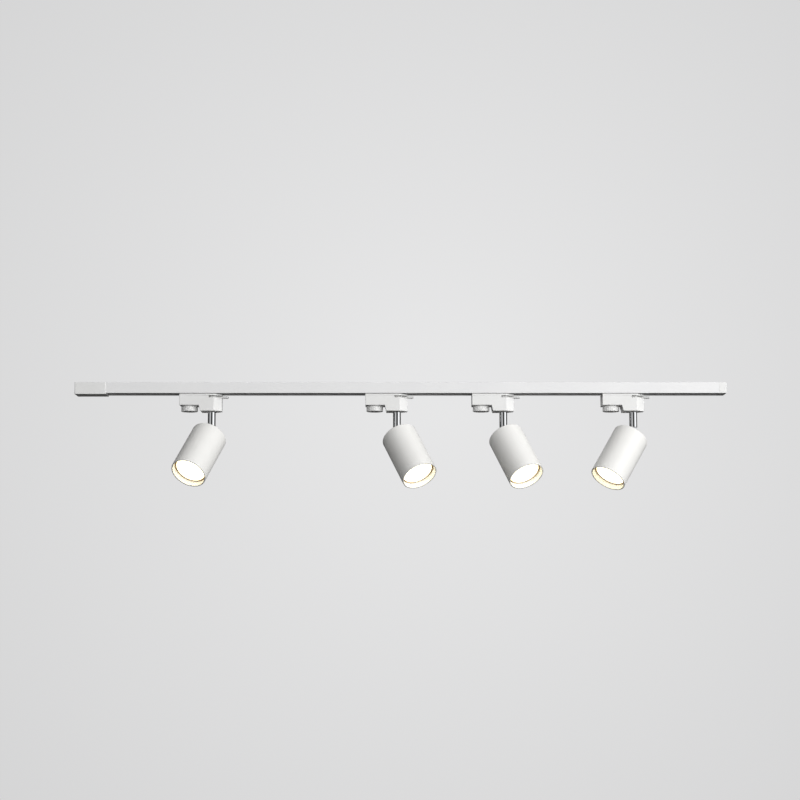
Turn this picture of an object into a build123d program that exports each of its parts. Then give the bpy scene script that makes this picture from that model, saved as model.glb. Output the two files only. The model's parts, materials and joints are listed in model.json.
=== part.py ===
"""Track lighting fixture: a one-metre ceiling rail that carries four adjustable cylinder spots.

Frame: origin at the middle of the rail's ceiling face, +X along the rail away from the feed box,
+Z up, millimetres. Each spot hangs below the rail on an adapter, a stem and a tilting knuckle.
"""

import os
from math import cos, hypot, radians, sin, sqrt

from build123d import *

# ---------------------------------------------------------------- driving dimensions
# Rail
rail_length = 1000.0
rail_width = 34.6
rail_height = 17.8
rail_wall = 1.6
rail_slot = 17.0
rail_edge_radius = 0.5
ceiling_hole_radius = 2.25
ceiling_hole_spacing = 800.0
liner_thickness = 2.6
conductor_height = 3.2
conductor_thickness = 1.3

# Feed box and end cap
feed_length = 51.0
feed_overhang = 0.7
feed_drop = 1.6
feed_wall = 2.0
feed_cover_thickness = 2.0
feed_edge_radius = 1.5
cable_entry_radius = 6.0
cable_entry_inset = 12.0
terminal_length = 14.0
terminal_width = 6.0
terminal_height = 8.0
terminal_pitch = 8.5
terminal_hole_radius = 1.5
terminal_screw_radius = 1.5
cap_length = 12.0
tongue_length = 12.0
tongue_wall = 2.0
screw_shank_radius = 1.5
screw_head_radius = 2.7
screw_head_height = 1.2
screw_slot_width = 0.6
screw_slot_end = 0.5
screw_boss_radius = 3.2
screw_boss_overlap = 0.8

# Adapter
adapter_front = 17.0
adapter_width = 34.0
adapter_thin_height = 18.6
adapter_deep_height = 28.1
adapter_wall = 2.0
adapter_cover_thickness = 2.8
adapter_step = 19.7
adapter_step_slope = 2.3
adapter_corner_length = 12.5
adapter_corner_width = 10.0
adapter_edge_radius = 0.8
cover_rib_height = 1.2
cover_rib_thickness = 1.4
guide_rise = 7.0
shelf_thickness = 1.6

# Lock lever
lever_thickness = 3.0
lever_slot_height = 3.8
lever_tab_width = 8.0
lever_tab_reach = 27.0
lever_tab_corner = 2.0
lever_side_gap = 3.5
lever_hub_radius = 7.5
lever_wing_width = 12.0
lever_wing_thickness = 3.0
wire_hole_radius = 3.0

# Contact knob
knob_radius = 13.5
knob_side_gap = 3.1
knob_end_margin = 1.8
knob_height = 9.0
knob_flute_count = 24
knob_flute_radius = 1.4
knob_flute_depth = 0.3
knob_edge_chamfer = 0.4
knob_shaft_radius = 5.0
rotor_radius = 7.0
rotor_height = 11.0
blade_width = 5.0
blade_thickness = 1.4
blade_root_radius = 4.0

# Stem and knuckle
stem_radius = 6.3
stem_neck_radius = 5.0
stem_solid_end = 5.0
stem_nut_height = 5.0
stem_nut_radius = 8.6
stem_end_radius = 0.6
stem_swing_gap = 0.7
knuckle_radius = 5.5
knuckle_thickness = 5.0
knuckle_shoulder = 7.5
ear_thickness = 3.0
yoke_plate_thickness = 2.0
yoke_plate_radius = 10.0
yoke_hole_radius = 2.2
yoke_screw_offset = 7.6
pivot_radius = 2.0
pivot_head_radius = 3.6
pivot_head_height = 1.6
pivot_nut_radius = 3.8
pivot_nut_height = 2.2

# Head
head_wall = 2.0
head_rear_wall = 2.0
head_rear_radius = 2.5
head_rim_radius = 0.4
head_swing_gap = 2.7
boss_wall = 2.0
boss_height = 13.55
holder_radius = 13.0
holder_height = 17.8
holder_socket_depth = 8.0
lamp_recess = 9.5
lamp_radius = 25.2
lamp_side_gap = 2.05
lamp_length = 47.0
lamp_base_radius = 12.6
lamp_base_length = 7.0
lamp_rim_length = 4.0
lamp_rim_wall = 1.0
lamp_flare_share = 0.42
lamp_pin_spacing = 10.0
lamp_pin_radius = 2.3
lamp_pin_length = 6.5
lens_thickness = 2.2
lens_crown = 0.9

# Clearances
slide_gap = 0.4
adapter_gap = 0.8
turn_gap = 0.3
running_gap = 0.08
seat_gap = 0.15

# Spots along the rail: stem axis from the rail's middle, turn of the head about the stem
# measured from +X, and tilt of the head's open end away from straight down.
spot_x = [-328.5, -25.5, 148.5, 361.0]
spot_yaw = [-116.5, -54.8, -57.5, -141.6]
spot_tilt = [42.9, 39.8, 39.1, 37.2]

# ---------------------------------------------------------------- sizes that follow
rail_end = rail_length / 2
channel_half = rail_width / 2 - rail_wall
liner_face = channel_half - liner_thickness
lip_top = -(rail_height - rail_wall)
conductor_z = (lip_top - rail_wall) / 2

feed_width = rail_width + 2 * feed_overhang
feed_height = rail_height + feed_drop
feed_middle = -rail_end - feed_length / 2

knob_offset = adapter_step + knob_side_gap + knob_radius
adapter_back = knob_offset + knob_radius + knob_end_margin
adapter_top = -(rail_height + adapter_gap)
housing_top = adapter_top - adapter_cover_thickness
thin_floor = adapter_top - adapter_thin_height
deep_floor = adapter_top - adapter_deep_height
adapter_half = adapter_width / 2

lever_top = housing_top - slide_gap
lever_slot_floor = housing_top - lever_slot_height
corner_run = hypot(adapter_corner_length, adapter_corner_width)
corner_reach = adapter_front * adapter_corner_width + adapter_half * adapter_corner_length
corner_reach = (corner_reach - adapter_corner_length * adapter_corner_width) / corner_run
lever_radius = min(adapter_half, adapter_front, corner_reach) - adapter_wall - lever_side_gap
wing_bottom = lip_top + turn_gap
wing_reach = liner_face - 2 * turn_gap

rotor_bottom = lip_top + turn_gap
blade_reach = liner_face - turn_gap

yoke_plate_gap = stem_radius + stem_swing_gap
head_bore = lamp_radius + lamp_side_gap
head_radius = head_bore + head_wall
knuckle_offset = yoke_plate_gap + yoke_plate_thickness
pivot_z = deep_floor - hypot(head_radius, knuckle_offset) - head_swing_gap
stem_top = deep_floor - turn_gap
stem_bottom = pivot_z + knuckle_shoulder
nut_bottom = deep_floor + adapter_wall + turn_gap
ear_inner = knuckle_thickness / 2 + turn_gap
ear_outer = ear_inner + ear_thickness

head_rear = knuckle_offset
holder_start = head_rear + head_rear_wall + boss_height
holder_end = holder_start + holder_height
lamp_start = holder_end + seat_gap
lamp_face = lamp_start + lamp_length
head_front = lamp_face + lamp_recess
head_length = head_front - head_rear
lens_radius = lamp_radius - lamp_rim_wall - seat_gap
boss_inner = yoke_screw_offset + screw_head_radius + seat_gap


# ---------------------------------------------------------------- helpers
def save(piece, name):
    """Label a finished piece and write its STEP file."""
    piece.part.label = name
    export_step(piece.part, f"parts/{name}.step")


def level(x, z):
    """Horizontal plane at height z, centred on the stem axis at x."""
    return Plane(origin=(x, 0, z))


def tilt_axis(n):
    """Direction of spot n's tilt axis; a positive turn about it lifts the head."""
    yaw = radians(spot_yaw[n])
    return Vector(sin(yaw), -cos(yaw), 0)


def head_frame(n):
    """Plane at spot n's pivot: X along the tilt axis, Z out through the head's open end."""
    yaw = radians(spot_yaw[n])
    tilt = radians(spot_tilt[n])
    aim = (cos(yaw) * sin(tilt), sin(yaw) * sin(tilt), -cos(tilt))
    return Plane(origin=(spot_x[n], 0, pivot_z), x_dir=tilt_axis(n), z_dir=aim)


def head_section(frame):
    """Lengthwise plane of a head: X is the radius and Y the station from the pivot."""
    return Plane(origin=frame.origin, x_dir=frame.x_dir, z_dir=frame.x_dir.cross(frame.z_dir))


def head_axis(frame):
    """Centre line of a head."""
    return Axis(frame.origin, frame.z_dir)


def rail_plane(x):
    """Cross-section plane of the rail at x: its X is +Y and its Y is +Z."""
    return Plane.YZ.offset(x)


def adapter_outline(inset, radius):
    """Plan of an adapter about its stem axis, with two cut corners at the lever end."""
    with BuildSketch() as outline:
        with BuildLine():
            Polyline(
                (-adapter_back, -adapter_half),
                (adapter_front - adapter_corner_length, -adapter_half),
                (adapter_front, -adapter_half + adapter_corner_width),
                (adapter_front, adapter_half - adapter_corner_width),
                (adapter_front - adapter_corner_length, adapter_half),
                (-adapter_back, adapter_half),
                close=True,
            )
        make_face()
        if inset:
            offset(amount=-inset, kind=Kind.INTERSECTION)
        if radius:
            fillet(outline.vertices(), radius)
    return outline.sketch


def tongue_outline():
    """Section of the hollow plugs that slide into the two ends of the channel."""
    top = -rail_wall - turn_gap
    height = -lip_top - rail_wall - 2 * turn_gap
    width = 2 * (liner_face - turn_gap)
    with BuildSketch() as outline:
        with Locations((0, top - height / 2)):
            Rectangle(width, height)
            Rectangle(width - 2 * tongue_wall, height - 2 * tongue_wall, mode=Mode.SUBTRACT)
    return outline.sketch


adapter_plan = adapter_outline(0, adapter_edge_radius)
adapter_plan_inside = adapter_outline(adapter_wall, 0)
tongue_section = tongue_outline()


# ---------------------------------------------------------------- rail
def make_rail():
    """Aluminium channel with a web on the ceiling and two lips along the slot."""
    with BuildPart() as rail:
        with BuildSketch(rail_plane(-rail_end)) as profile:
            with Locations((0, -rail_height / 2)):
                Rectangle(rail_width, rail_height)
            fillet(profile.vertices(), rail_edge_radius)
            with Locations((0, (lip_top - rail_wall) / 2)):
                Rectangle(2 * channel_half, -lip_top - rail_wall, mode=Mode.SUBTRACT)
            with Locations((0, lip_top - rail_wall / 2)):
                Rectangle(rail_slot, rail_wall, mode=Mode.SUBTRACT)
        extrude(amount=rail_length)
        with BuildSketch(Plane.XY):
            with GridLocations(ceiling_hole_spacing, 0, 2, 1):
                Circle(ceiling_hole_radius)
        extrude(amount=-rail_wall, mode=Mode.SUBTRACT)
    return rail


def make_insulators():
    """Plastic liners on both side walls, each with a groove for its conductor."""
    with BuildPart() as liners:
        with BuildSketch(rail_plane(-rail_end)):
            with Locations((channel_half - liner_thickness / 2, conductor_z)):
                Rectangle(liner_thickness, -lip_top - rail_wall)
            with Locations((liner_face + conductor_thickness / 2, conductor_z)):
                Rectangle(conductor_thickness, conductor_height, mode=Mode.SUBTRACT)
        extrude(amount=rail_length)
        mirror(about=Plane.XZ)
    return liners


def make_conductors():
    """Copper strips, line and neutral, lying in the liners' grooves."""
    with BuildPart() as strips:
        with BuildSketch(rail_plane(-rail_end)):
            with Locations((liner_face + conductor_thickness / 2, conductor_z)):
                Rectangle(conductor_thickness, conductor_height)
        extrude(amount=rail_length)
        mirror(about=Plane.XZ)
    return strips


# ---------------------------------------------------------------- feed box and end cap
def feed_screw_places():
    """Plan positions of the cover screws, inside two diagonal corners of the feed box."""
    inset = feed_wall + screw_boss_radius - screw_boss_overlap
    dx = feed_length / 2 - inset
    dy = feed_width / 2 - inset
    return [(feed_middle - dx, dy), (feed_middle + dx, -dy)]


def make_feed_housing():
    """Live-end box, open below, with a cable entry in its ceiling side and a tongue into the rail."""
    depth = feed_height - feed_cover_thickness
    with BuildPart() as housing:
        with BuildSketch(level(feed_middle, 0)) as plan:
            Rectangle(feed_length, feed_width)
            fillet(plan.vertices(), feed_edge_radius)
        extrude(amount=-depth)
        with BuildSketch(level(feed_middle, -feed_wall)):
            Rectangle(feed_length - 2 * feed_wall, feed_width - 2 * feed_wall)
        extrude(amount=feed_wall - depth, mode=Mode.SUBTRACT)
        with BuildSketch(level(0, -feed_wall)):
            with Locations(feed_screw_places()):
                Circle(screw_boss_radius)
        extrude(amount=feed_wall - depth)
        with BuildSketch(level(0, -depth)):
            with Locations(feed_screw_places()):
                Circle(screw_shank_radius)
        extrude(amount=depth - feed_wall, mode=Mode.SUBTRACT)
        with BuildSketch(level(-rail_end - feed_length + cable_entry_inset, 0)):
            Circle(cable_entry_radius)
        extrude(amount=-feed_wall, mode=Mode.SUBTRACT)
        with BuildSketch(rail_plane(-rail_end)):
            add(tongue_section)
        extrude(amount=tongue_length)
    return housing


def make_feed_cover():
    """Plate that closes the feed box from below."""
    with BuildPart() as cover:
        with BuildSketch(level(feed_middle, -feed_height)) as plan:
            Rectangle(feed_length, feed_width)
            fillet(plan.vertices(), feed_edge_radius)
        extrude(amount=feed_cover_thickness)
        with BuildSketch(level(0, -feed_height)):
            with Locations(feed_screw_places()):
                Circle(screw_shank_radius)
        extrude(amount=feed_cover_thickness, mode=Mode.SUBTRACT)
        with BuildSketch(level(0, -feed_height)):
            with Locations(feed_screw_places()):
                Circle(screw_head_radius + seat_gap)
        extrude(amount=screw_head_height, mode=Mode.SUBTRACT)
    return cover


def make_feed_screws():
    """Two cover screws, heads let into the plate."""
    with BuildPart() as screws:
        with BuildSketch(level(0, -feed_height)):
            with Locations(feed_screw_places()):
                Circle(screw_head_radius)
        extrude(amount=screw_head_height)
        with BuildSketch(level(0, -feed_height)):
            with Locations(feed_screw_places()):
                Circle(screw_shank_radius)
        extrude(amount=feed_height - feed_wall)
        with BuildSketch(level(0, -feed_height)):
            with Locations(feed_screw_places()):
                Rectangle(2 * (screw_head_radius - screw_slot_end), screw_slot_width)
        extrude(amount=screw_head_height / 2, mode=Mode.SUBTRACT)
    return screws


def make_feed_terminals():
    """Three brass terminal barrels with clamping screws, for line, neutral and earth."""
    x = -rail_end - feed_wall - turn_gap - terminal_length / 2 - 2 * screw_boss_radius
    with BuildPart() as terminals:
        with BuildSketch(level(x, -feed_wall)):
            with GridLocations(0, terminal_pitch, 1, 3):
                Rectangle(terminal_length, terminal_width)
        extrude(amount=-terminal_height)
        with BuildSketch(Plane.YZ.offset(x - terminal_length / 2)):
            with Locations((0, -feed_wall - terminal_height / 2)):
                with GridLocations(terminal_pitch, 0, 3, 1):
                    Circle(terminal_hole_radius)
        extrude(amount=terminal_length, mode=Mode.SUBTRACT)
        with BuildSketch(level(x, -feed_wall - terminal_height)):
            with GridLocations(terminal_length / 2, terminal_pitch, 2, 3):
                Circle(terminal_screw_radius)
        extrude(amount=-terminal_screw_radius)
    return terminals


def make_end_cap():
    """Moulded cap that plugs the far end of the rail."""
    with BuildPart() as cap:
        with BuildSketch(rail_plane(rail_end)):
            with Locations((0, -rail_height / 2)):
                Rectangle(rail_width, rail_height)
        extrude(amount=cap_length)
        outer = cap.faces().sort_by(Axis.X)[-1]
        fillet(outer.edges(), rail_edge_radius)
        with BuildSketch(rail_plane(rail_end)):
            add(tongue_section)
        extrude(amount=-tongue_length)
    return cap


# ---------------------------------------------------------------- adapter
def adapter_block(x, inset):
    """Outer form of the adapter, or with an inset the hollow inside it, open at the top."""
    side = Plane(origin=(x, 0, 0), x_dir=(1, 0, 0), z_dir=(0, -1, 0))
    with BuildPart() as block:
        with BuildSketch(side):
            with BuildLine():
                Polyline(
                    (-adapter_back + inset, housing_top),
                    (adapter_front - inset, housing_top),
                    (adapter_front - inset, deep_floor + inset),
                    (-adapter_step + adapter_step_slope + inset, deep_floor + inset),
                    (-adapter_step + inset, thin_floor + inset),
                    (-adapter_back + inset, thin_floor + inset),
                    close=True,
                )
            make_face()
        extrude(amount=adapter_half, both=True)
        with BuildSketch(level(x, deep_floor)):
            add(adapter_plan_inside if inset else adapter_plan)
        extrude(amount=housing_top - deep_floor, mode=Mode.INTERSECT)
    return block.part


def make_adapter_housing(x):
    """Adapter body: a shallow end over the knob and a deep end that holds the stem."""
    outer = adapter_block(x, 0)
    hollow = adapter_block(x, adapter_wall)
    with BuildPart() as housing:
        add(outer)
        fillet(housing.edges().group_by(Axis.Z)[0], adapter_edge_radius)
        add(hollow, mode=Mode.SUBTRACT)
        # shelf under the lever, with a hole for the leads
        with BuildSketch(level(x, lever_slot_floor)):
            add(adapter_plan_inside)
            with Locations((-adapter_back / 2 - adapter_front, 0)):
                Rectangle(adapter_back, adapter_width, mode=Mode.SUBTRACT)
            Circle(wire_hole_radius, mode=Mode.SUBTRACT)
        extrude(amount=-shelf_thickness)
        # slot that the lever's tab sweeps, from the end round to the near side
        with BuildSketch(level(x, housing_top)):
            with Locations((-lever_tab_width / 2, lever_tab_width / 2)):
                Rectangle(adapter_back, adapter_width, align=(Align.MIN, Align.MAX))
        extrude(amount=-lever_slot_height, mode=Mode.SUBTRACT)
        with BuildSketch(level(x, deep_floor)):
            Circle(stem_neck_radius + running_gap)
        extrude(amount=adapter_wall, mode=Mode.SUBTRACT)
        with BuildSketch(level(x - knob_offset, thin_floor)):
            Circle(knob_shaft_radius + running_gap)
        extrude(amount=adapter_wall, mode=Mode.SUBTRACT)
    return housing


def make_adapter_cover(x):
    """Plate on top of the adapter, with a locating rib below and a guide that rides in the slot."""
    rib_start = -adapter_back + adapter_wall + seat_gap
    rib_end = -lever_radius - 2 * turn_gap
    rib_width = adapter_width - 2 * (adapter_wall + seat_gap)
    guide_start = -knob_offset + blade_reach + 2 * turn_gap
    guide_end = -wing_reach - 2 * turn_gap
    with BuildPart() as cover:
        with BuildSketch(level(x, housing_top)):
            add(adapter_plan)
        extrude(amount=adapter_cover_thickness)
        with BuildSketch(level(x, housing_top)):
            with Locations(((rib_start + rib_end) / 2, 0)):
                Rectangle(rib_end - rib_start, rib_width)
                Rectangle(
                    rib_end - rib_start - 2 * cover_rib_thickness,
                    rib_width - 2 * cover_rib_thickness,
                    mode=Mode.SUBTRACT,
                )
        extrude(amount=-cover_rib_height)
        with BuildSketch(level(x, adapter_top)):
            with Locations(((guide_start + guide_end) / 2, 0)):
                Rectangle(guide_end - guide_start, rail_slot - 2 * slide_gap)
        extrude(amount=guide_rise)
        with BuildSketch(level(x, housing_top)):
            Circle(lever_hub_radius + running_gap)
            with Locations((-knob_offset, 0)):
                Circle(knob_shaft_radius + running_gap)
        extrude(amount=adapter_cover_thickness, mode=Mode.SUBTRACT)
    return cover


def make_lock_lever(x):
    """Disc with a finger tab; its hub rises into the rail and ends in wings that grip the lips."""
    with BuildPart() as lever:
        with BuildSketch(level(x, lever_top)):
            Circle(lever_radius)
            with BuildLine():
                Polyline(
                    (0, -lever_tab_width / 2),
                    (lever_tab_reach, -lever_tab_width / 2),
                    (lever_tab_reach, lever_tab_width / 2),
                    (0, lever_tab_width / 2),
                    close=True,
                )
            make_face()
        extrude(amount=-lever_thickness)
        tip_edges = lever.edges().filter_by(Axis.Z).sort_by(Axis.X)[-2:]
        fillet(tip_edges, lever_tab_corner)
        with BuildSketch(level(x, lever_top)):
            Circle(lever_hub_radius)
        extrude(amount=wing_bottom - lever_top)
        with BuildSketch(level(x, wing_bottom)):
            Circle(wing_reach)
            Rectangle(lever_wing_width, 2 * wing_reach, mode=Mode.INTERSECT)
        extrude(amount=lever_wing_thickness)
        with BuildSketch(level(x, wing_bottom + lever_wing_thickness)):
            Circle(wire_hole_radius)
        extrude(amount=-rail_height, mode=Mode.SUBTRACT)
    return lever


def make_contact_knob(x):
    """Fluted knob whose shaft passes through the adapter to the rotor inside the rail."""
    centre = x - knob_offset
    knob_top = thin_floor - turn_gap
    with BuildPart() as knob:
        with BuildSketch(level(centre, knob_top)):
            Circle(knob_radius)
            with PolarLocations(knob_radius + knob_flute_radius - knob_flute_depth, knob_flute_count):
                Circle(knob_flute_radius, mode=Mode.SUBTRACT)
        extrude(amount=-knob_height)
        chamfer(knob.edges().group_by(Axis.Z)[0], knob_edge_chamfer)
        with BuildSketch(level(centre, knob_top)):
            Circle(knob_shaft_radius)
        extrude(amount=rotor_bottom - knob_top)
        with BuildSketch(level(centre, rotor_bottom)):
            Circle(rotor_radius)
        extrude(amount=rotor_height)
        with BuildSketch(level(centre, conductor_z - blade_thickness / 2)):
            Rectangle(blade_width, 2 * rotor_radius)
            Rectangle(blade_width, 2 * blade_root_radius, mode=Mode.SUBTRACT)
        extrude(amount=blade_thickness, mode=Mode.SUBTRACT)
    return knob


def make_contact_blades(x):
    """Two copper blades held in the rotor, reaching to the conductors."""
    with BuildPart() as blades:
        with BuildSketch(level(x - knob_offset, conductor_z - blade_thickness / 2)):
            Circle(blade_reach)
            Rectangle(blade_width, 2 * blade_reach, mode=Mode.INTERSECT)
            Rectangle(blade_width, 2 * blade_root_radius, mode=Mode.SUBTRACT)
        extrude(amount=blade_thickness)
    return blades


# ---------------------------------------------------------------- stem and knuckle
def make_stem(n):
    """Hollow turned stem with a neck that turns in the adapter and a flat tongue at the foot."""
    x = spot_x[n]
    axis = tilt_axis(n)
    with BuildPart() as stem:
        with BuildSketch(level(x, stem_bottom)):
            Circle(stem_radius)
        extrude(amount=stem_top - stem_bottom)
        fillet(stem.edges().group_by(Axis.Z)[0], stem_end_radius)
        with BuildSketch(level(x, stem_top)):
            Circle(stem_neck_radius)
        extrude(amount=nut_bottom + stem_nut_height + turn_gap - stem_top)
        with BuildSketch(level(x, stem_bottom + stem_solid_end)):
            Circle(wire_hole_radius)
        extrude(amount=rail_height + adapter_deep_height, mode=Mode.SUBTRACT)
        with BuildSketch(Plane(origin=(x, 0, pivot_z), x_dir=(0, 0, 1), z_dir=axis)):
            Circle(knuckle_radius)
            Rectangle(
                knuckle_shoulder + stem_end_radius,
                2 * knuckle_radius,
                align=(Align.MIN, Align.CENTER),
            )
            Circle(pivot_radius + running_gap, mode=Mode.SUBTRACT)
        extrude(amount=knuckle_thickness / 2, both=True)
    return stem


def make_stem_nut(x):
    """Hexagon nut that holds the stem's neck above the adapter's floor."""
    with BuildPart() as nut:
        with BuildSketch(level(x, nut_bottom)):
            RegularPolygon(stem_nut_radius, 6)
            Circle(stem_neck_radius, mode=Mode.SUBTRACT)
        extrude(amount=stem_nut_height)
    return nut


def make_tilt_yoke(frame):
    """Two ears on a round plate, screwed to the back of the head."""
    hinge = Plane(origin=frame.origin, x_dir=frame.z_dir, z_dir=frame.x_dir)
    with BuildPart() as yoke:
        with BuildSketch(frame.offset(yoke_plate_gap)):
            Circle(yoke_plate_radius)
            Circle(yoke_hole_radius, mode=Mode.SUBTRACT)
            with GridLocations(0, 2 * yoke_screw_offset, 1, 2):
                Circle(screw_shank_radius, mode=Mode.SUBTRACT)
        extrude(amount=yoke_plate_thickness)
        for ear_start in (ear_inner, -ear_outer):
            with BuildSketch(hinge.offset(ear_start)):
                Circle(knuckle_radius)
                Rectangle(yoke_plate_gap, 2 * knuckle_radius, align=(Align.MIN, Align.CENTER))
                Circle(pivot_radius, mode=Mode.SUBTRACT)
            extrude(amount=ear_thickness)
    return yoke


def make_tilt_screws(frame):
    """Pivot screw with its nut, and the two screws that hold the yoke to the head."""
    hinge = Plane(origin=frame.origin, x_dir=frame.z_dir, z_dir=frame.x_dir)
    screw_start = head_rear - yoke_plate_thickness
    with BuildPart() as screws:
        with BuildSketch(hinge.offset(-ear_outer - pivot_nut_height - turn_gap)):
            Circle(pivot_radius)
        extrude(amount=2 * ear_outer + pivot_nut_height + turn_gap)
        with BuildSketch(hinge.offset(ear_outer)):
            Circle(pivot_head_radius)
        extrude(amount=pivot_head_height)
        with BuildSketch(hinge.offset(ear_outer + pivot_head_height / 2)):
            RegularPolygon(pivot_radius, 6)
        extrude(amount=pivot_head_height / 2, mode=Mode.SUBTRACT)
        with BuildSketch(hinge.offset(-ear_outer - pivot_nut_height)):
            RegularPolygon(pivot_nut_radius, 6)
        extrude(amount=pivot_nut_height)
        with BuildSketch(frame.offset(screw_start)):
            with GridLocations(0, 2 * yoke_screw_offset, 1, 2):
                Circle(screw_shank_radius)
        extrude(amount=yoke_plate_thickness + head_rear_wall)
        with BuildSketch(frame.offset(head_rear + head_rear_wall)):
            with GridLocations(0, 2 * yoke_screw_offset, 1, 2):
                Circle(screw_head_radius)
        extrude(amount=screw_head_height)
    return screws


# ---------------------------------------------------------------- head
def make_head_housing(frame):
    """Turned cylinder, closed at the back, with a boss inside that carries the lampholder."""
    with BuildPart() as housing:
        with BuildSketch(frame.offset(head_rear)):
            Circle(head_radius)
        extrude(amount=head_length)
        ends = housing.edges().filter_by(GeomType.CIRCLE)
        rear = ends.sort_by(head_axis(frame))[0]
        fillet(rear, head_rear_radius)
        with BuildSketch(frame.offset(head_rear + head_rear_wall)):
            Circle(head_bore)
        extrude(amount=head_length, mode=Mode.SUBTRACT)
        rim = housing.faces().sort_by(head_axis(frame))[-1]
        fillet(rim.edges(), head_rim_radius)
        with BuildSketch(frame.offset(head_rear + head_rear_wall)):
            Circle(boss_inner + boss_wall)
            Circle(boss_inner, mode=Mode.SUBTRACT)
        extrude(amount=boss_height)
        with BuildSketch(frame.offset(head_rear)):
            Circle(yoke_hole_radius)
            with GridLocations(0, 2 * yoke_screw_offset, 1, 2):
                Circle(screw_shank_radius)
        extrude(amount=head_rear_wall, mode=Mode.SUBTRACT)
    return housing


def make_lampholder(frame):
    """Ceramic holder with two sockets for the lamp's pins."""
    with BuildPart() as holder:
        with BuildSketch(frame.offset(holder_start)):
            Circle(max(holder_radius, boss_inner + boss_wall))
        extrude(amount=holder_end - holder_start)
        with BuildSketch(frame.offset(holder_end)):
            with GridLocations(lamp_pin_spacing, 0, 2, 1):
                Circle(lamp_pin_radius + seat_gap)
        extrude(amount=-holder_socket_depth, mode=Mode.SUBTRACT)
    return holder


def make_lamp(frame):
    """Reflector lamp: a base with two pins, a flared body and a short straight rim."""
    rim_start = lamp_face - lamp_rim_length
    flare_start = lamp_start + lamp_base_length
    with BuildPart() as lamp:
        with BuildSketch(head_section(frame)):
            with BuildLine():
                Polyline((0, lamp_start), (lamp_base_radius, lamp_start), (lamp_base_radius, flare_start))
                ThreePointArc(
                    (lamp_base_radius, flare_start),
                    (
                        (lamp_base_radius + lamp_radius) / 2,
                        flare_start + (rim_start - flare_start) * lamp_flare_share,
                    ),
                    (lamp_radius, rim_start),
                )
                Polyline(
                    (lamp_radius, rim_start),
                    (lamp_radius, lamp_face),
                    (lens_radius + seat_gap, lamp_face),
                    (lens_radius + seat_gap, lamp_face - lens_thickness),
                    (0, lamp_face - lens_thickness),
                    (0, lamp_start),
                )
            make_face()
        revolve(axis=head_axis(frame))
        with BuildSketch(frame.offset(lamp_start)):
            with GridLocations(lamp_pin_spacing, 0, 2, 1):
                Circle(lamp_pin_radius)
        extrude(amount=-lamp_pin_length)
    return lamp


def make_lamp_lens(frame):
    """Clear front disc, slightly crowned, seated in the lamp's rim."""
    seat = lamp_face - lens_thickness
    sphere_radius = (lens_radius**2 + lens_crown**2) / (2 * lens_crown)
    sphere_centre = lamp_face + lens_crown - sphere_radius
    half_way = lens_radius / 2
    with BuildPart() as lens:
        with BuildSketch(head_section(frame)):
            with BuildLine():
                Polyline((0, seat), (lens_radius, seat), (lens_radius, lamp_face))
                ThreePointArc(
                    (lens_radius, lamp_face),
                    (half_way, sphere_centre + sqrt(sphere_radius**2 - half_way**2)),
                    (0, lamp_face + lens_crown),
                )
                Line((0, lamp_face + lens_crown), (0, seat))
            make_face()
        revolve(axis=head_axis(frame))
    return lens


# ---------------------------------------------------------------- build
os.makedirs("parts", exist_ok=True)

save(make_rail(), "rail")
save(make_insulators(), "rail_insulators")
save(make_conductors(), "rail_conductors")
save(make_feed_housing(), "feed_housing")
save(make_feed_cover(), "feed_cover")
save(make_feed_screws(), "feed_screws")
save(make_feed_terminals(), "feed_terminals")
save(make_end_cap(), "end_cap")

for n, x in enumerate(spot_x):
    number = n + 1
    frame = head_frame(n)
    save(make_adapter_housing(x), f"adapter_housing_{number}")
    save(make_adapter_cover(x), f"adapter_cover_{number}")
    save(make_lock_lever(x), f"lock_lever_{number}")
    save(make_contact_knob(x), f"contact_knob_{number}")
    save(make_contact_blades(x), f"contact_blades_{number}")
    save(make_stem(n), f"stem_{number}")
    save(make_stem_nut(x), f"stem_nut_{number}")
    save(make_tilt_yoke(frame), f"tilt_yoke_{number}")
    save(make_tilt_screws(frame), f"tilt_screws_{number}")
    save(make_head_housing(frame), f"head_housing_{number}")
    save(make_lampholder(frame), f"lampholder_{number}")
    save(make_lamp(frame), f"lamp_{number}")
    save(make_lamp_lens(frame), f"lamp_lens_{number}")
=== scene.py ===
import json
from math import cos, pi, radians, sin

import bmesh
import bpy
from mathutils import Matrix, Vector


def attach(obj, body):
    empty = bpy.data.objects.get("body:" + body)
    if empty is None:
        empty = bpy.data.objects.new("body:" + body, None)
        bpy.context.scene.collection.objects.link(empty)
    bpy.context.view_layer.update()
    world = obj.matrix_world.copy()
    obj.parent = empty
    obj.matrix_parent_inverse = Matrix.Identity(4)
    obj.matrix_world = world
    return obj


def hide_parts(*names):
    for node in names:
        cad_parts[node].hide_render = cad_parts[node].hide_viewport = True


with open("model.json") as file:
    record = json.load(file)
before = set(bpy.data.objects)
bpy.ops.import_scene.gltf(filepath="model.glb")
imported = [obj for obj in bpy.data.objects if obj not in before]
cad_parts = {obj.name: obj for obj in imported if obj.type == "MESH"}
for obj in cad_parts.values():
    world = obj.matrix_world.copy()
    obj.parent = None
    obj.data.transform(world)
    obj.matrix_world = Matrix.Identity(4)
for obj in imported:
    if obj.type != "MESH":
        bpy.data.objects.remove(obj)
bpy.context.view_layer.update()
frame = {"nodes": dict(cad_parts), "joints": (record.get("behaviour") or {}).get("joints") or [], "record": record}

MM = 0.001

record = frame["record"]
nodes = frame["nodes"]
joints = {joint["name"]: joint for joint in frame["joints"]}
spots = sorted(name.rsplit("_", 1)[1] for name in nodes if name.startswith("head_housing_"))


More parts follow.
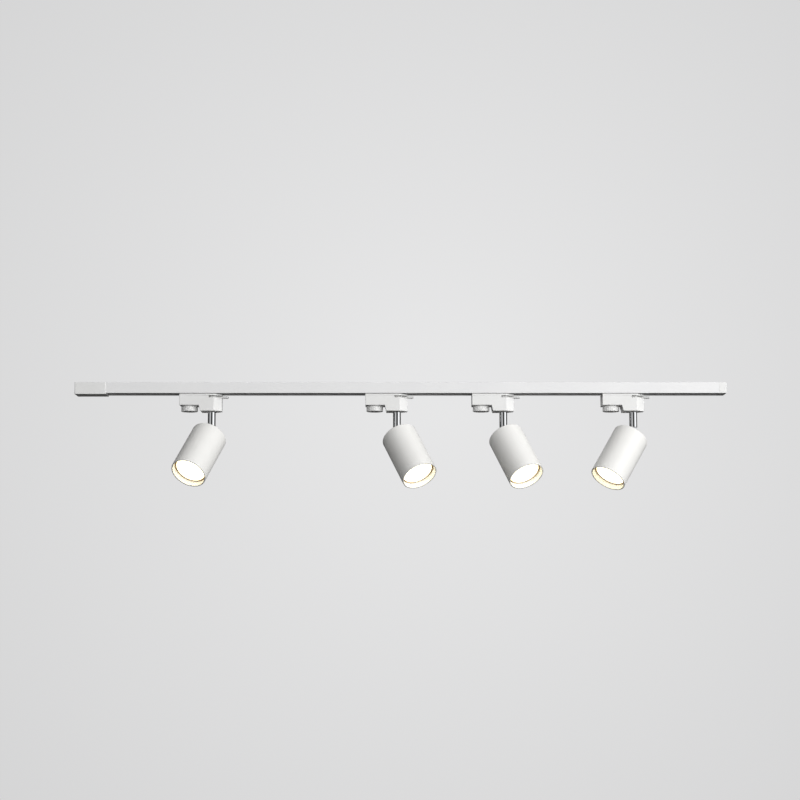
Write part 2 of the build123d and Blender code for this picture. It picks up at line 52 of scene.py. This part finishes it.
# ---------------------------------------------------------------- shader helpers
def new_material(name):
    """Empty material with a Principled shader wired to its output."""
    material = bpy.data.materials.new(name)
    material.use_nodes = True
    tree = material.node_tree
    tree.nodes.clear()
    shader = tree.nodes.new("ShaderNodeBsdfPrincipled")
    output = tree.nodes.new("ShaderNodeOutputMaterial")
    tree.links.new(shader.outputs["BSDF"], output.inputs["Surface"])
    return material, tree, shader


def object_coordinates(tree, scale=(1, 1, 1)):
    """Object coordinates, stretched by scale."""
    coordinates = tree.nodes.new("ShaderNodeTexCoord")
    mapping = tree.nodes.new("ShaderNodeMapping")
    mapping.inputs["Scale"].default_value = scale
    tree.links.new(coordinates.outputs["Object"], mapping.inputs["Vector"])
    return mapping.outputs["Vector"]


def noise(tree, vector, scale, detail=3, roughness=0.55):
    """Noise value socket."""
    node = tree.nodes.new("ShaderNodeTexNoise")
    node.inputs["Scale"].default_value = scale
    node.inputs["Detail"].default_value = detail
    node.inputs["Roughness"].default_value = roughness
    tree.links.new(vector, node.inputs["Vector"])
    return node.outputs["Fac"]


def remap(tree, value, low, high, to_low, to_high):
    """Value moved from one range to another, clamped."""
    node = tree.nodes.new("ShaderNodeMapRange")
    node.inputs["From Min"].default_value = low
    node.inputs["From Max"].default_value = high
    node.inputs["To Min"].default_value = to_low
    node.inputs["To Max"].default_value = to_high
    tree.links.new(value, node.inputs["Value"])
    return node.outputs["Result"]


def blend_colours(tree, factor, first, second):
    """Mix of two colours; each is a colour or a socket."""
    node = tree.nodes.new("ShaderNodeMix")
    node.data_type = "RGBA"
    tree.links.new(factor, node.inputs["Factor"])
    for socket, value in ((node.inputs[6], first), (node.inputs[7], second)):
        if isinstance(value, bpy.types.NodeSocket):
            tree.links.new(value, socket)
        else:
            socket.default_value = (*value, 1)
    return node.outputs[2]


def bump(tree, height, depth, strength):
    """Normal from a height socket; depth is the relief in metres."""
    node = tree.nodes.new("ShaderNodeBump")
    node.inputs["Strength"].default_value = strength
    node.inputs["Distance"].default_value = depth
    tree.links.new(height, node.inputs["Height"])
    return node.outputs["Normal"]


def make_group(name, inputs, outputs):
    """Shader node group with named value, colour and vector sockets."""
    group = bpy.data.node_groups.new(name, "ShaderNodeTree")
    for label, kind, default in inputs:
        socket = group.interface.new_socket(label, in_out="INPUT", socket_type=kind)
        if default is not None:
            socket.default_value = default
    for label, kind in outputs:
        group.interface.new_socket(label, in_out="OUTPUT", socket_type=kind)
    return group, group.nodes.new("NodeGroupInput"), group.nodes.new("NodeGroupOutput")


# ---------------------------------------------------------------- shared surface effects
def make_surface_group():
    """Slow colour drift, faint handling marks and a fine grain, as colour, roughness and height."""
    group, inputs, outputs = make_group(
        "surface_finish",
        [
            ("Vector", "NodeSocketVector", None),
            ("Tone A", "NodeSocketColor", (0.8, 0.8, 0.8, 1)),
            ("Tone B", "NodeSocketColor", (0.75, 0.75, 0.75, 1)),
            ("Grain Scale", "NodeSocketFloat", 1500),
            ("Roughness Low", "NodeSocketFloat", 0.35),
            ("Roughness High", "NodeSocketFloat", 0.5),
        ],
        [
            ("Color", "NodeSocketColor"),
            ("Roughness", "NodeSocketFloat"),
            ("Height", "NodeSocketFloat"),
        ],
    )
    drift = noise(group, inputs.outputs["Vector"], 14, 4)
    marks = noise(group, inputs.outputs["Vector"], 90, 5, 0.7)
    tone = blend_colours(
        group,
        remap(group, drift, 0.3, 0.7, 0, 1),
        inputs.outputs["Tone A"],
        inputs.outputs["Tone B"],
    )
    group.links.new(tone, outputs.inputs["Color"])
    rough = group.nodes.new("ShaderNodeMapRange")
    rough.inputs["From Min"].default_value = 0.3
    rough.inputs["From Max"].default_value = 0.75
    group.links.new(marks, rough.inputs["Value"])
    group.links.new(inputs.outputs["Roughness Low"], rough.inputs["To Min"])
    group.links.new(inputs.outputs["Roughness High"], rough.inputs["To Max"])
    group.links.new(rough.outputs["Result"], outputs.inputs["Roughness"])
    grain = group.nodes.new("ShaderNodeTexNoise")
    grain.inputs["Detail"].default_value = 2
    group.links.new(inputs.outputs["Vector"], grain.inputs["Vector"])
    group.links.new(inputs.outputs["Grain Scale"], grain.inputs["Scale"])
    group.links.new(grain.outputs["Fac"], outputs.inputs["Height"])
    return group


surface_group = make_surface_group()


def place_surface(tree, shader, vector, tones, grain_scale, roughness, relief, strength):
    """Places the shared finish in a material and wires it to the shader."""
    node = tree.nodes.new("ShaderNodeGroup")
    node.node_tree = surface_group
    node.inputs["Tone A"].default_value = (*tones[0], 1)
    node.inputs["Tone B"].default_value = (*tones[1], 1)
    node.inputs["Grain Scale"].default_value = grain_scale
    node.inputs["Roughness Low"].default_value = roughness[0]
    node.inputs["Roughness High"].default_value = roughness[1]
    tree.links.new(vector, node.inputs["Vector"])
    tree.links.new(node.outputs["Color"], shader.inputs["Base Color"])
    tree.links.new(node.outputs["Roughness"], shader.inputs["Roughness"])
    normal = bump(tree, node.outputs["Height"], relief, strength)
    tree.links.new(normal, shader.inputs["Normal"])


# ---------------------------------------------------------------- materials
def powder_coat(name, tones, grain_scale):
    """White powder coat: fine orange peel, satin sheen, very slight drift of tone."""
    material, tree, shader = new_material(name)
    shader.inputs["Specular IOR Level"].default_value = 0.45
    vector = object_coordinates(tree)
    place_surface(tree, shader, vector, tones, grain_scale, (0.36, 0.48), 0.00002, 0.2)
    return material


def moulded_plastic(name, tones, roughness):
    """White moulded housing plastic with a spark-eroded texture finer than the paint's."""
    material, tree, shader = new_material(name)
    shader.inputs["IOR"].default_value = 1.49
    vector = object_coordinates(tree)
    place_surface(tree, shader, vector, tones, 3200, roughness, 0.00004, 0.45)
    return material


def black_liner():
    """Extruded black plastic with die lines along the rail."""
    material, tree, shader = new_material("black_liner")
    vector = object_coordinates(tree, (3, 900, 900))
    lines = noise(tree, vector, 1, 3)
    tree.links.new(
        blend_colours(tree, lines, (0.012, 0.012, 0.013), (0.03, 0.03, 0.032)),
        shader.inputs["Base Color"],
    )
    tree.links.new(remap(tree, lines, 0.3, 0.7, 0.4, 0.62), shader.inputs["Roughness"])
    tree.links.new(bump(tree, lines, 0.00005, 0.4), shader.inputs["Normal"])
    return material


def drawn_metal(name, bright, dull, stretch, roughness):
    """Bare metal with draw lines along one axis and patchy tarnish."""
    material, tree, shader = new_material(name)
    shader.inputs["Metallic"].default_value = 1
    lines = noise(tree, object_coordinates(tree, stretch), 1, 3)
    patches = noise(tree, object_coordinates(tree), 45, 4, 0.65)
    tree.links.new(
        blend_colours(tree, remap(tree, patches, 0.42, 0.68, 0, 1), bright, dull),
        shader.inputs["Base Color"],
    )
    tree.links.new(remap(tree, lines, 0.3, 0.7, *roughness), shader.inputs["Roughness"])
    tree.links.new(bump(tree, lines, 0.00003, 0.35), shader.inputs["Normal"])
    return material


def polished_chrome():
    """Plated stem: near mirror, with faint turning rings and fingerprints in its gloss."""
    material, tree, shader = new_material("polished_chrome")
    shader.inputs["Metallic"].default_value = 1
    rings = noise(tree, object_coordinates(tree, (4, 4, 2600)), 1, 2)
    smears = noise(tree, object_coordinates(tree), 160, 5, 0.7)
    tree.links.new(
        blend_colours(tree, smears, (0.86, 0.87, 0.88), (0.78, 0.79, 0.81)),
        shader.inputs["Base Color"],
    )
    tree.links.new(remap(tree, smears, 0.35, 0.75, 0.05, 0.13), shader.inputs["Roughness"])
    tree.links.new(bump(tree, rings, 0.00001, 0.15), shader.inputs["Normal"])
    return material


def zinc_steel():
    """Zinc-plated steel with a crystalline mottle."""
    material, tree, shader = new_material("zinc_steel")
    shader.inputs["Metallic"].default_value = 1
    vector = object_coordinates(tree)
    cells = tree.nodes.new("ShaderNodeTexVoronoi")
    cells.inputs["Scale"].default_value = 900
    tree.links.new(vector, cells.inputs["Vector"])
    tone = blend_colours(tree, cells.outputs["Distance"], (0.72, 0.73, 0.74), (0.5, 0.52, 0.55))
    tree.links.new(tone, shader.inputs["Base Color"])
    mottle = remap(tree, cells.outputs["Distance"], 0, 0.8, 0.26, 0.44)
    tree.links.new(mottle, shader.inputs["Roughness"])
    tree.links.new(bump(tree, cells.outputs["Distance"], 0.00003, 0.3), shader.inputs["Normal"])
    return material


def holder_ceramic():
    """Unglazed steatite: off-white, speckled, dry."""
    material, tree, shader = new_material("holder_ceramic")
    vector = object_coordinates(tree)
    specks = noise(tree, vector, 1100, 2)
    tree.links.new(
        blend_colours(tree, remap(tree, specks, 0.6, 0.72, 0, 1), (0.78, 0.75, 0.68), (0.5, 0.46, 0.4)),
        shader.inputs["Base Color"],
    )
    tree.links.new(remap(tree, specks, 0.3, 0.7, 0.6, 0.8), shader.inputs["Roughness"])
    tree.links.new(bump(tree, specks, 0.00005, 0.5), shader.inputs["Normal"])
    return material


def lamp_shell():
    """Lamp's moulded body and rim, with a painted warm tint and a faint painted glow standing for the lamp's light
    falling back past the rim.
    """
    material, tree, shader = new_material("lamp_shell")
    vector = object_coordinates(tree)
    # painted light: the warm tones stand for the lamp's own light tinting its body
    tones = ((0.72, 0.56, 0.30), (0.62, 0.47, 0.24))
    place_surface(tree, shader, vector, tones, 2200, (0.3, 0.45), 0.00003, 0.3)
    # painted glow: a faint emission on the body stands for light leaking back past the rim
    shader.inputs["Emission Color"].default_value = (1, 0.62, 0.25, 1)
    shader.inputs["Emission Strength"].default_value = 0.16
    return material


def lit_lens():
    """Frosted front of a lit lamp: even warm light, a little stronger over the emitters."""
    material, tree, shader = new_material("lit_lens")
    shader.inputs["Emission Strength"].default_value = 3.1
    shader.inputs["IOR"].default_value = 1.5
    vector = object_coordinates(tree)
    frost = noise(tree, vector, 1800, 2)
    glow = noise(tree, vector, 130, 1)
    warm = blend_colours(tree, remap(tree, glow, 0.3, 0.7, 0, 1), (1.0, 0.89, 0.58), (1.0, 0.92, 0.66))
    tree.links.new(warm, shader.inputs["Emission Color"])
    tree.links.new(
        blend_colours(tree, frost, (0.9, 0.87, 0.8), (0.8, 0.77, 0.7)),
        shader.inputs["Base Color"],
    )
    tree.links.new(remap(tree, frost, 0.3, 0.7, 0.25, 0.4), shader.inputs["Roughness"])
    tree.links.new(bump(tree, frost, 0.00004, 0.4), shader.inputs["Normal"])
    return material


materials = {
    "rail_paint": powder_coat("rail_paint", ((0.80, 0.80, 0.80), (0.77, 0.77, 0.775)), 1700),
    "head_paint": powder_coat("head_paint", ((0.775, 0.77, 0.75), (0.745, 0.74, 0.72)), 1400),
    "white_plastic": moulded_plastic(
        "white_plastic", ((0.80, 0.80, 0.795), (0.76, 0.76, 0.75)), (0.30, 0.42)
    ),
    "insulator": black_liner(),
    "copper": drawn_metal("copper", (0.85, 0.45, 0.28), (0.55, 0.27, 0.16), (3, 1500, 1500), (0.18, 0.36)),
    "brass": drawn_metal("brass", (0.80, 0.62, 0.30), (0.55, 0.42, 0.2), (1500, 3, 1500), (0.2, 0.36)),
    "chrome": polished_chrome(),
    "steel": zinc_steel(),
    "ceramic": holder_ceramic(),
    "lamp_body": lamp_shell(),
    "lens": lit_lens(),
}

slot_of = {entry["node"]: entry["material_slot"] for entry in record["subparts"]}
body_of = {name: body for body, names in record["behaviour"]["bodies"].items() for name in names}


def finish_material(piece, slot_name):
    """Gives a piece its only material."""
    piece.data.materials.clear()
    piece.data.materials.append(materials[slot_name])


for node_name, node_object in nodes.items():
    for place in node_object.material_slots:
        place.material = materials[slot_of[node_name]]


# ---------------------------------------------------------------- mesh helpers
def new_piece(name, shape, body, slot_name, replaced=None, smooth_angle=35):
    """Turns a bmesh into an object, shaded smooth up to an angle, and ties it to the frame."""
    mesh = bpy.data.meshes.new(name)
    shape.to_mesh(mesh)
    shape.free()
    mesh.shade_smooth()
    mesh.set_sharp_from_angle(angle=radians(smooth_angle))
    piece = bpy.data.objects.new(name, mesh)
    bpy.context.collection.objects.link(piece)
    weighted = piece.modifiers.new("weighted_normals", "WEIGHTED_NORMAL")
    weighted.keep_sharp = True
    finish_material(piece, slot_name)
    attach(piece, body)
    if replaced:
        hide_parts(replaced)
    return piece


def round_edges(shape, edges, width, segments=3):
    """Rounds chosen edges by a width."""
    bmesh.ops.bevel(
        shape,
        geom=edges,
        offset=width,
        offset_type="OFFSET",
        affect="EDGES",
        segments=segments,
        profile=0.5,
        clamp_overlap=True,
        material=-1,
    )


def corners(shape, angle=25):
    """Edges whose two faces meet at more than an angle."""
    return [edge for edge in shape.edges if edge.calc_face_angle(0) > radians(angle)]


def lathe(profile, steps=96):
    """Turns a profile of (radius, station) about Z; the shape is closed on the axis."""
    shape = bmesh.new()
    points = [shape.verts.new((radius, 0, station)) for radius, station in profile]
    lines = [shape.edges.new(pair) for pair in zip(points, points[1:])]
    bmesh.ops.spin(
        shape,
        geom=points + lines,
        cent=(0, 0, 0),
        axis=(0, 0, 1),
        angle=2 * pi,
        steps=steps,
        use_merge=True,
    )
    bmesh.ops.remove_doubles(shape, verts=shape.verts, dist=MM / 1000)
    bmesh.ops.recalc_face_normals(shape, faces=shape.faces)
    return shape


def crisp_copy(node_name, width, angle=30, segments=2):
    """Copy of a CAD piece with its flat faces made whole and its edges rounded."""
    shape = bmesh.new()
    shape.from_mesh(nodes[node_name].data)
    bmesh.ops.remove_doubles(shape, verts=shape.verts, dist=MM / 500)
    bmesh.ops.dissolve_limit(
        shape, angle_limit=radians(0.5), verts=shape.verts, edges=shape.edges
    )
    round_edges(shape, corners(shape, angle), width, segments)
    return new_piece(
        f"{node_name}_shell", shape, body_of[node_name], slot_of[node_name], node_name
    )


# ---------------------------------------------------------------- heads
def head_place(spot):
    """Matrix of a head's own frame: X along the tilt axis, Z out of the open end, at the pivot."""
    joint = joints[f"head_tilt_{spot}"]
    across = Vector(joint["axis"]).normalized()
    tilt = -radians(joint["range_deg"][0])
    level = Vector((-across.y, across.x, 0))
    aim = level * sin(tilt) - Vector((0, 0, cos(tilt)))
    turn = Matrix((across, aim.cross(across), aim)).transposed().to_4x4()
    return Matrix.Translation(joint["pos_m"]) @ turn


def turned_span(node_name, place):
    """Start, end and radius of a turned CAD piece along its head's axis."""
    inverse = place.inverted()
    points = [inverse @ vertex.co for vertex in nodes[node_name].data.vertices]
    stations = [point.z for point in points]
    return min(stations), max(stations), max(point.xy.length for point in points)


def rim_bore(spot, place, front):
    """Radius of a head's open bore, read at its front rim."""
    inverse = place.inverted()
    points = [inverse @ vertex.co for vertex in nodes[f"head_housing_{spot}"].data.vertices]
    return min(point.xy.length for point in points if point.z > front - MM)


def make_head_shell(spot):
    """Turned and painted cylinder with a rounded back edge and a thin rim."""
    place = head_place(spot)
    rear, front, radius = turned_span(f"head_housing_{spot}", place)
    wall = radius - rim_bore(spot, place, front)
    floor_thickness = 2 * MM
    back_rounding = 2.5 * MM
    rim_rounding = 0.35 * MM
    shape = lathe(
        [
            (0, rear),
            (radius, rear),
            (radius, front),
            (radius - wall, front),
            (radius - wall, rear + floor_thickness),
            (0, rear + floor_thickness),
        ],
        128,
    )
    back_edge = [
        edge
        for edge in corners(shape)
        if edge.verts[0].co.z < rear + MM and edge.verts[0].co.xy.length > radius - wall / 2
    ]
    round_edges(shape, back_edge, back_rounding, 8)
    rim_edges = [edge for edge in corners(shape) if edge.verts[0].co.z > front - wall / 4]
    round_edges(shape, rim_edges, rim_rounding, 3)
    shape.transform(place)
    return new_piece(f"head_shell_{spot}", shape, f"head_{spot}", "head_paint", f"head_housing_{spot}")


def make_lamp_body(spot):
    """Reflector lamp: base with two pins, flared body and a rounded bezel round the lens."""
    place = head_place(spot)
    start, face, radius = turned_span(f"lamp_{spot}", place)
    pin_length = 6.5 * MM
    pin_radius = 2.3 * MM
    pin_offset = 5 * MM
    base_radius = 12.6 * MM
    base_length = 7 * MM
    rim_length = 4 * MM
    bezel = 1.0 * MM
    bezel_rounding = 0.4 * MM
    recess = 2.2 * MM
    flare_steps = 7
    base = start + pin_length
    flare = base + base_length
    rim = face - rim_length
    profile = [(0, base), (base_radius, base), (base_radius, flare)]
    for step in range(1, flare_steps):
        share = step / flare_steps
        width = base_radius + (radius - base_radius) * sin(share * pi / 2)
        profile.append((width, flare + (rim - flare) * share))
    profile += [
        (radius, rim),
        (radius, face),
        (radius - bezel, face),
        (radius - bezel, face - recess),
        (0, face - recess),
    ]
    shape = lathe(profile, 96)
    bezel_edges = [edge for edge in corners(shape, 40) if edge.verts[0].co.z > face - MM / 10]
    round_edges(shape, bezel_edges, bezel_rounding, 3)
    for side in (-1, 1):
        bmesh.ops.create_cone(
            shape,
            cap_ends=True,
            segments=24,
            radius1=pin_radius,
            radius2=pin_radius,
            depth=pin_length,
            matrix=Matrix.Translation((side * pin_offset, 0, base - pin_length / 2)),
        )
    shape.transform(place)
    return new_piece(f"lamp_body_{spot}", shape, f"head_{spot}", "lamp_body", f"lamp_{spot}")


def make_lens(spot):
    """Crowned front with fine concentric steps."""
    place = head_place(spot)
    seat, crown, radius = turned_span(f"lamp_lens_{spot}", place)
    rings = 12
    rise = 0.9 * MM
    ridge = 0.12 * MM
    step_share = 0.2
    profile = [(0, seat), (radius, seat)]
    for ring in range(rings, 0, -1):
        outer = radius * ring / rings
        height = crown - rise * (outer / radius) ** 2
        profile.append((outer, height))
        profile.append((outer - radius / rings * step_share, height + ridge * (1 - ring / rings)))
    profile.append((0, crown))
    shape = lathe(profile, 96)
    shape.transform(place)
    return new_piece(f"lens_{spot}", shape, f"head_{spot}", "lens", f"lamp_lens_{spot}", 60)


for spot in spots:
    make_head_shell(spot)
    make_lamp_body(spot)
    make_lens(spot)


# ---------------------------------------------------------------- rounded copies of the machined pieces
crisp_widths = {
    "rail": 0.25,
    "end_cap": 0.35,
    "feed_housing": 0.4,
    "feed_cover": 0.4,
    "feed_screws": 0.15,
}
spot_widths = {
    "adapter_housing": 0.4,
    "adapter_cover": 0.6,
    "lock_lever": 0.4,
    "contact_knob": 0.3,
    "stem": 0.2,
    "tilt_yoke": 0.25,
    "tilt_screws": 0.2,
}
for node_name, width in crisp_widths.items():
    crisp_copy(node_name, width * MM)
for spot in spots:
    for node_name, width in spot_widths.items():
        crisp_copy(f"{node_name}_{spot}", width * MM)


# ---------------------------------------------------------------- stage
def make_floor():
    """Large round pale floor, well below the fixture."""
    floor_radius = 9
    floor_drop = 3.3
    shape = bmesh.new()
    middle = Matrix.Translation((0, 0, -floor_drop))
    bmesh.ops.create_circle(shape, cap_ends=True, segments=128, radius=floor_radius, matrix=middle)
    mesh = bpy.data.meshes.new("floor")
    shape.to_mesh(mesh)
    shape.free()
    floor = bpy.data.objects.new("floor", mesh)
    bpy.context.collection.objects.link(floor)
    material, tree, shader = new_material("floor_plaster")
    vector = object_coordinates(tree)
    place_surface(
        tree, shader, vector, ((0.80, 0.80, 0.80), (0.77, 0.77, 0.77)), 220, (0.7, 0.85), 0.0006, 0.3
    )
    shader.inputs["Emission Color"].default_value = (1, 1, 1, 1)
    shader.inputs["Emission Strength"].default_value = 0.4
    mesh.materials.append(material)
    floor.visible_diffuse = False
    floor.visible_glossy = False


def make_softbox(name, place, target, size, power):
    """Rectangular studio light that faces a target, not seen itself or in reflections."""
    light = bpy.data.lights.new(name, "AREA")
    light.shape = "RECTANGLE"
    light.size = size[0]
    light.size_y = size[1]
    light.energy = power
    lamp = bpy.data.objects.new(name, light)
    bpy.context.collection.objects.link(lamp)
    lamp.location = place
    lamp.visible_camera = False
    lamp.visible_glossy = False
    lamp.rotation_euler = (Vector(target) - Vector(place)).to_track_quat("-Z", "Y").to_euler()


def place_stops(ramp, stops):
    """Sets a ramp's grey stops from (bearing, level) pairs, the ramp covering a full turn."""
    while len(ramp.elements) < len(stops):
        ramp.elements.new(0.5)
    for element, (bearing, level) in zip(ramp.elements, stops):
        element.position = (bearing + 180) / 360
        element.color = (level, level, level, 1)


ROOM_LIGHT = 1.25
# level of the room by bearing in degrees: 0 is in front, positive towards the end cap
ROOM_WALLS = [
    (-180, 0.02), (-95, 0.03), (-62, 0.1), (-53, 0.55), (-29, 0.55), (-20, 0.07), (28, 0.03),
    (36, 1), (68, 1), (93, 0.55), (101, 0.01), (180, 0.01),
]
BACKDROP_CENTRE = (0.02, 0.99, 0.13)
BACKDROP_LEVELS = (0.80, 0.67)


def make_world():
    """Pale backdrop for the eye; for the object, a room with light and dark walls, dim below."""
    world = bpy.data.worlds.new("studio")
    bpy.context.scene.world = world
    world.use_nodes = True
    tree = world.node_tree
    tree.nodes.clear()
    output = tree.nodes.new("ShaderNodeOutputWorld")
    shown = tree.nodes.new("ShaderNodeBackground")
    lit = tree.nodes.new("ShaderNodeBackground")
    shown.inputs["Color"].default_value = (0.995, 0.995, 1, 1)
    lit.inputs["Color"].default_value = (1, 1, 1, 1)
    mix = tree.nodes.new("ShaderNodeMixShader")
    path = tree.nodes.new("ShaderNodeLightPath")
    direction = tree.nodes.new("ShaderNodeTexCoord")
    split = tree.nodes.new("ShaderNodeSeparateXYZ")
    tree.links.new(direction.outputs["Generated"], split.inputs["Vector"])
    height = remap(tree, split.outputs["Z"], -0.3, 0.08, 0.08, 1)
    ahead = tree.nodes.new("ShaderNodeMath")
    ahead.operation = "MULTIPLY"
    ahead.inputs[1].default_value = -1
    tree.links.new(split.outputs["Y"], ahead.inputs[0])
    bearing = tree.nodes.new("ShaderNodeMath")
    bearing.operation = "ARCTAN2"
    tree.links.new(split.outputs["X"], bearing.inputs[0])
    tree.links.new(ahead.outputs["Value"], bearing.inputs[1])
    walls = tree.nodes.new("ShaderNodeValToRGB")
    tree.links.new(remap(tree, bearing.outputs["Value"], -pi, pi, 0, 1), walls.inputs["Fac"])
    place_stops(walls.color_ramp, ROOM_WALLS)
    room = tree.nodes.new("ShaderNodeMath")
    room.operation = "MULTIPLY"
    tree.links.new(height, room.inputs[0])
    tree.links.new(walls.outputs["Color"], room.inputs[1])
    level = tree.nodes.new("ShaderNodeMath")
    level.operation = "MULTIPLY"
    level.inputs[1].default_value = ROOM_LIGHT
    tree.links.new(room.outputs["Value"], level.inputs[0])
    tree.links.new(level.outputs["Value"], lit.inputs["Strength"])
    away = tree.nodes.new("ShaderNodeVectorMath")
    away.operation = "DISTANCE"
    away.inputs[1].default_value = BACKDROP_CENTRE
    tree.links.new(direction.outputs["Generated"], away.inputs[0])
    tree.links.new(remap(tree, away.outputs["Value"], 0.02, 0.32, *BACKDROP_LEVELS), shown.inputs["Strength"])
    tree.links.new(path.outputs["Is Camera Ray"], mix.inputs["Fac"])
    tree.links.new(lit.outputs["Background"], mix.inputs[1])
    tree.links.new(shown.outputs["Background"], mix.inputs[2])
    tree.links.new(mix.outputs["Shader"], output.inputs["Surface"])


make_floor()
make_world()
make_softbox("key", (1.7, -1.6, 0.6), (0.1, 0, -0.05), (1.9, 1.6), 41)
make_softbox("fill", (-1.9, -1.5, 0.2), (0, 0, -0.05), (1.6, 1.3), 4)
make_softbox("side", (2.1, 0.9, 0.3), (0.1, 0, -0.05), (1.0, 1.2), 8)
make_softbox("front", (0.3, -2.6, 0.5), (0, 0, -0.05), (1.2, 1.0), 18)
make_softbox("back", (-0.5, 2.3, 1.0), (0, 0, -0.05), (2.2, 1.2), 55)
make_softbox("below", (0, -0.3, -0.62), (0, 0, -0.05), (2.0, 0.8), 0.8)


# ---------------------------------------------------------------- camera
def make_camera():
    """Long lens, a little below the fixture and looking up at it."""
    rise = radians(7)
    distance = 3.0
    target = Vector((-0.0205, -0.0173, -0.0293))
    camera = bpy.data.objects.new("camera", bpy.data.cameras.new("camera"))
    bpy.context.collection.objects.link(camera)
    camera.data.lens = 82.9
    camera.data.sensor_width = 36
    camera.location = target - distance * Vector((0, cos(rise), sin(rise)))
    camera.rotation_euler = (target - camera.location).to_track_quat("-Z", "Y").to_euler()
    bpy.context.scene.camera = camera


make_camera()
bpy.context.scene.view_settings.view_transform = "Standard"
